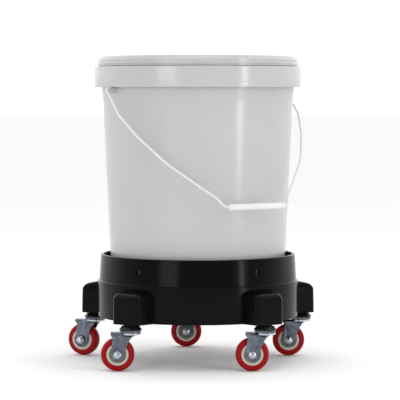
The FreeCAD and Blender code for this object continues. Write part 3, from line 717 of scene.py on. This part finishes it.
BOSS_BORE, BOSS_RADIUS = 5.55, 10.5
boss_foot, boss_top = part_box("back_dust_cap")[1].z / MM, step - 20.0
boss = lathe("boss", fillet([
    (BOSS_BORE, boss_foot), (BOSS_RADIUS, boss_foot, 0.6), (BOSS_RADIUS, boss_top),
    (BOSS_BORE, boss_top),
]), 72)

pieces = [ring_body, ribs]
for name in CASTERS:
    out = stems[name].normalized()
    place = in_metres(axes(stems[name], out.cross(Z), out, Z))
    pieces.append(turned_copy(pod, name + "_pod_copy", place))
    pieces.append(turned_copy(boss, name + "_boss_copy", place))
bpy.data.objects.remove(pod)
bpy.data.objects.remove(boss)
stand_in(join("dolly_moulding", pieces), "dolly", "ring_plastic", "dolly_ring")


# ---------------------------------------------------------------- casters

# In the frame of the stem: X the way the wheel trails, Z up from the floor.
TRAIL, AXLE_Z, CROWN_TOP, CROWN = 19.0, 25.0, 57.2, 3.0
UNDER, FORK_INNER, FORK_OUTER = CROWN_TOP - CROWN, 11.0, 13.0
FORK_BACK, FORK_FRONT, FORK_FOOT = -8.5, 29.0, 12.0
CROWN_BORE, CROWN_RADIUS, GROOVE_CIRCLE, GROOVE_HALF = 4.4, 15.5, 11.0, 1.6
AXLE_RADIUS, AXLE_HOLE = 3.15, 3.2
THROUGH = 20.0             # how far a cutting tool reaches past the middle

# Fork: a bent strip, an inverted U, trimmed to its side outline, with a round crown on it.
fork = prism("fork", fillet([
    (-FORK_OUTER, FORK_FOOT), (-FORK_INNER, FORK_FOOT), (-FORK_INNER, UNDER, 1.4),
    (FORK_INNER, UNDER, 1.4), (FORK_INNER, FORK_FOOT), (FORK_OUTER, FORK_FOOT),
    (FORK_OUTER, CROWN_TOP, 3.4), (-FORK_OUTER, CROWN_TOP, 3.4),
]), FORK_BACK, FORK_FRONT, END_ON)
side = prism("fork_side", fillet([
    (FORK_BACK, CROWN_TOP + 2.0), (FORK_BACK, UNDER - 0.5, 0.8), (-4.0, UNDER - 1.0, 2.0),
    (2.0, UNDER - 9.0, 9.0), (7.5, AXLE_Z + 7.0, 12.0), (TRAIL - 9.4, AXLE_Z - 6.0, 8.0),
    (TRAIL, AXLE_Z - 10.6, 8.0), (TRAIL + 9.4, AXLE_Z - 6.0, 8.0),
    (TRAIL + 8.4, AXLE_Z + 12.0, 20.0), (TRAIL + 6.5, UNDER - 4.0, 3.0),
    (FORK_FRONT, UNDER - 0.5, 1.0), (FORK_FRONT, CROWN_TOP + 2.0),
]), -THROUGH, THROUGH, SIDE_ON)
combine(fork, side, "INTERSECT")
groove_low = CROWN_TOP - 1.1
crown = lathe("crown", fillet([
    (CROWN_BORE, UNDER), (CROWN_RADIUS, UNDER, 0.7), (CROWN_RADIUS, CROWN_TOP, 0.9),
    (GROOVE_CIRCLE + GROOVE_HALF, CROWN_TOP, 0.2), (GROOVE_CIRCLE + 1.1, groove_low, 0.6),
    (GROOVE_CIRCLE, CROWN_TOP - 1.55, 0.6), (GROOVE_CIRCLE - 1.1, groove_low, 0.6),
    (GROOVE_CIRCLE - GROOVE_HALF, CROWN_TOP, 0.2), (CROWN_BORE, CROWN_TOP),
]), 72)
bore = prism("crown_bore", circle(CROWN_RADIUS - 0.2, 72), UNDER - 2.0, CROWN_TOP + 2.0)
combine(fork, bore, "DIFFERENCE")
eye = prism("axle_eye", circle(AXLE_HOLE, 36, TRAIL, AXLE_Z), -THROUGH, THROUGH, SIDE_ON)
combine(fork, eye, "DIFFERENCE")
soften(fork, 0.35)

CAP_BORE, CAP_SHOULDER = 5.6, 13.7
cap_low, cap_high = (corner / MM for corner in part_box("back_dust_cap"))
cap_radius = (cap_high.x - cap_low.x) / 2
cap = lathe("cap", fillet([
    (CAP_BORE, cap_low.z), (cap_radius - 1.4, cap_low.z, 0.4), (cap_radius, cap_low.z + 0.7, 0.7),
    (cap_radius, cap_low.z + 2.3, 0.9), (15.6, cap_low.z + 3.2, 1.0),
    (CAP_SHOULDER, cap_high.z - 0.5, 0.8), (CAP_SHOULDER - 0.7, cap_high.z, 0.4),
    (CAP_BORE, cap_high.z),
]), 72)

HEAD, AXLE_END = FORK_OUTER + 3.6, FORK_OUTER + 5.0
axle = lathe("axle_rod", fillet([
    (0.0, -HEAD), (2.6, -HEAD + 0.35, 3.0), (4.9, -HEAD + 1.5, 2.0), (5.6, -HEAD + 2.3, 0.6),
    (5.8, -FORK_OUTER, 0.3), (AXLE_RADIUS, -FORK_OUTER), (AXLE_RADIUS, AXLE_END, 0.5),
    (0.0, AXLE_END),
]), 48)

NUT_CORNER, NUT_TALL, NUT_TOP_RADIUS = 6.35, 4.6, 5.2
NUT_LOW, NUT_TOP = FORK_OUTER - 1.0, FORK_OUTER + 4.9
nut_block = prism("nut_block", circle(NUT_CORNER, 6), FORK_OUTER, FORK_OUTER + NUT_TALL)
# The chamfer that every hexagon nut has at its corners.
cone = lathe("nut_cone", [(0.0, NUT_LOW), (6.9, NUT_LOW), (6.9, FORK_OUTER + 3.6),
                          (NUT_TOP_RADIUS, NUT_TOP), (0.0, NUT_TOP)], 72)
combine(nut_block, cone, "INTERSECT")
thread = prism("nut_thread", circle(AXLE_HOLE, 36), NUT_LOW, FORK_OUTER + 5.2)
combine(nut_block, thread, "DIFFERENCE")
soften(nut_block, 0.2)
nut_dome = lathe("nut_dome", fillet([
    (3.6, FORK_OUTER + 4.0), (NUT_TOP_RADIUS, FORK_OUTER + 4.0), (NUT_TOP_RADIUS, NUT_TOP, 0.5),
    (4.4, FORK_OUTER + 6.6, 2.2), (2.4, FORK_OUTER + 7.8, 2.6), (0.0, FORK_OUTER + 8.2),
    (0.0, FORK_OUTER + 5.3), (3.6, FORK_OUTER + 5.3),
]), 48)
nut = join("nut", [nut_block, nut_dome])

WIDTH, HUB = 9.5, 16.3     # half the tyre's width, and the hub's radius
HUB_BORE, HUB_WEB = 4.65, WIDTH - 5.0
hub_half = [(HUB_BORE, WIDTH - 0.2, 0.2), (7.4, WIDTH - 0.2, 0.4), (7.8, HUB_WEB, 0.8),
            (11.2, HUB_WEB, 0.8), (12.2, WIDTH, 0.7), (HUB - 0.8, WIDTH, 0.5),
            (HUB, WIDTH - 0.9, 0.3)]
hub = lathe("hub", fillet(hub_half + mirror(hub_half)), 96)
tyre_half = [(HUB, WIDTH - 0.9, 0.2), (HUB + 1.6, WIDTH - 0.5, 0.8), (21.2, WIDTH - 0.7, 2.0),
             (23.6, WIDTH - 2.6, 3.0), (24.7, WIDTH - 5.6, 4.0)]
TREAD_MIDDLE = (24.95, 0.0, 30.0)
tyre = lathe("tyre", fillet(tyre_half + [TREAD_MIDDLE] + mirror(tyre_half)), 128)

for name in CASTERS:
    stem, trail = stems[name], trails[name]
    wheel, _ = joint_place(name + "_wheel_roll")
    swivel_place = in_metres(axes(stem, trail, Z.cross(trail), Z))
    nut_low, nut_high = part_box(name + "_axle_nut")
    to_nut = (nut_low + nut_high) / 2 / MM - wheel
    to_nut = (to_nut - Z * to_nut.z).normalized()
    axle_place = in_metres(axes(wheel, Z.cross(to_nut), Z, to_nut))
    cap_place = in_metres(Matrix.Translation(stem))
    for source, label, place, body, slot, node in (
            (cap, "cap_shell", cap_place, "dolly", "cap_plastic", "dust_cap"),
            (fork, "fork_pressing", swivel_place, name + "_swivel", "zinc_steel", "fork"),
            (axle, "axle_bolt", axle_place, name + "_swivel", "zinc_steel", "axle"),
            (nut, "domed_nut", axle_place, name + "_swivel", "zinc_steel", "axle_nut"),
            (hub, "hub_core", axle_place, name + "_wheel", "hub_plastic", "wheel_hub"),
            (tyre, "tread", axle_place, name + "_wheel", "tyre_red", "tyre")):
        piece = turned_copy(source, "%s_%s" % (name, label), place)
        # Axles and nuts get the lighter zinc copy, a painted highlight.
        painted_highlight = "zinc_painted_highlight" if node in ("axle", "axle_nut") else None
        stand_in(piece, body, slot, "%s_%s" % (name, node), finish=painted_highlight)
    # The crowns get the lighter zinc copy too, a painted highlight on their edges.
    crown_piece = turned_copy(crown, name + "_fork_crown", swivel_place)
    stand_in(crown_piece, name + "_swivel", "zinc_steel", finish="zinc_painted_highlight")
for source in (cap, fork, crown, axle, nut, hub, tyre):
    bpy.data.objects.remove(source)

# The CAD nodes that stay as they are, each with the finish it gets.
KEPT = {"lid_seal": "seal_rubber"}
for name in CASTERS:
    KEPT[name + "_kingpin"] = "zinc_steel"
    KEPT[name + "_upper_race"] = "zinc_steel"
    KEPT[name + "_swivel_balls"] = "ball_steel"
    KEPT[name + "_wheel_bush"] = "bush_steel"
for node, finish in KEPT.items():
    for holder in frame["nodes"][node].material_slots:
        holder.material = FINISHES[finish]


# ---------------------------------------------------------------- studio

FLOOR_HALF = 40000.0       # millimetres
FLOOR_GAP = 0.0002         # metres between the tyres and the floor
SKY_FRONT, SKY_BACK = 0.52, 1.40    # strength of the sky behind the camera and ahead of it

# Read before the floor is made, because object_bounds would count the floor as part of the object.
floor_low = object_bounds()[0].z
bm = bmesh.new()
bmesh.ops.create_grid(bm, x_segments=2, y_segments=2, size=FLOOR_HALF)
floor = finish_mesh("studio_floor", bm)
floor.location.z = floor_low - FLOOR_GAP
paper = Finish("studio_paper")
fibre = paper.noise(6.0, 4.0, 0.6)
paper.colour(paper.mix(paper.remap(fibre, 0.0, 1.0), (0.955, 0.955, 0.955), (0.97, 0.97, 0.97)))
paper.rough(paper.remap(fibre, 0.85, 0.95))
paper.specular(0.0)
floor.data.materials.append(paper.material)

world = bpy.data.worlds.new("studio")
bpy.context.scene.world = world
world.use_nodes = True
sky = world.node_tree.nodes["Background"]
sky.inputs["Color"].default_value = (1.0, 1.0, 1.0, 1.0)
direction = world.node_tree.nodes.new("ShaderNodeTexCoord")
split = world.node_tree.nodes.new("ShaderNodeSeparateXYZ")
fade = world.node_tree.nodes.new("ShaderNodeMapRange")
fade.inputs["From Min"].default_value = -0.6
fade.inputs["From Max"].default_value = 0.5
fade.inputs["To Min"].default_value = SKY_FRONT
fade.inputs["To Max"].default_value = SKY_BACK
world.node_tree.links.new(direction.outputs["Generated"], split.inputs["Vector"])
world.node_tree.links.new(split.outputs["Y"], fade.inputs["Value"])
world.node_tree.links.new(fade.outputs["Result"], sky.inputs["Strength"])


def softbox(name, azimuth, distance, height, width, tall, power, drop=0.0):
    """Rectangular light, its azimuth in degrees to the right of the camera.

    It faces the object's axis, at a point this drop in metres below its own height.
    """
    light = bpy.data.lights.new(name, "AREA")
    light.shape = "RECTANGLE"
    light.size = width
    light.size_y = tall
    light.energy = power
    lamp = bpy.data.objects.new(name, light)
    bpy.context.scene.collection.objects.link(lamp)
    turn = math.radians(azimuth)
    lamp.location = (distance * math.sin(turn), -distance * math.cos(turn), height)
    facing = Vector((0, 0, height - drop)) - lamp.location
    lamp.rotation_mode = "QUATERNION"
    lamp.rotation_quaternion = facing.to_track_quat("-Z", "Y")


softbox("strip_right", 51.0, 2.6, 1.0, 0.26, 2.0, 15.0)
softbox("window_left", -33.0, 2.4, 0.85, 0.85, 1.15, 10.0)
softbox("top", 10.0, 0.6, 2.6, 1.4, 1.4, 10.0, 0.5795555)

CAMERA_AT = (0.0032, -3.209, 0.406)
CAMERA_DOWN = 2.866        # degrees below the horizon
LENS, SENSOR = 188.7, 36.0

camera_data = bpy.data.cameras.new("camera")
camera_data.lens = LENS
camera_data.sensor_width = SENSOR
camera_data.clip_end = 100.0
camera = bpy.data.objects.new("camera", camera_data)
bpy.context.scene.collection.objects.link(camera)
camera.location = CAMERA_AT
camera.rotation_euler = (math.radians(90.0 - CAMERA_DOWN), 0.0, 0.0)
bpy.context.scene.camera = camera
bpy.context.scene.view_settings.view_transform = "Standard"
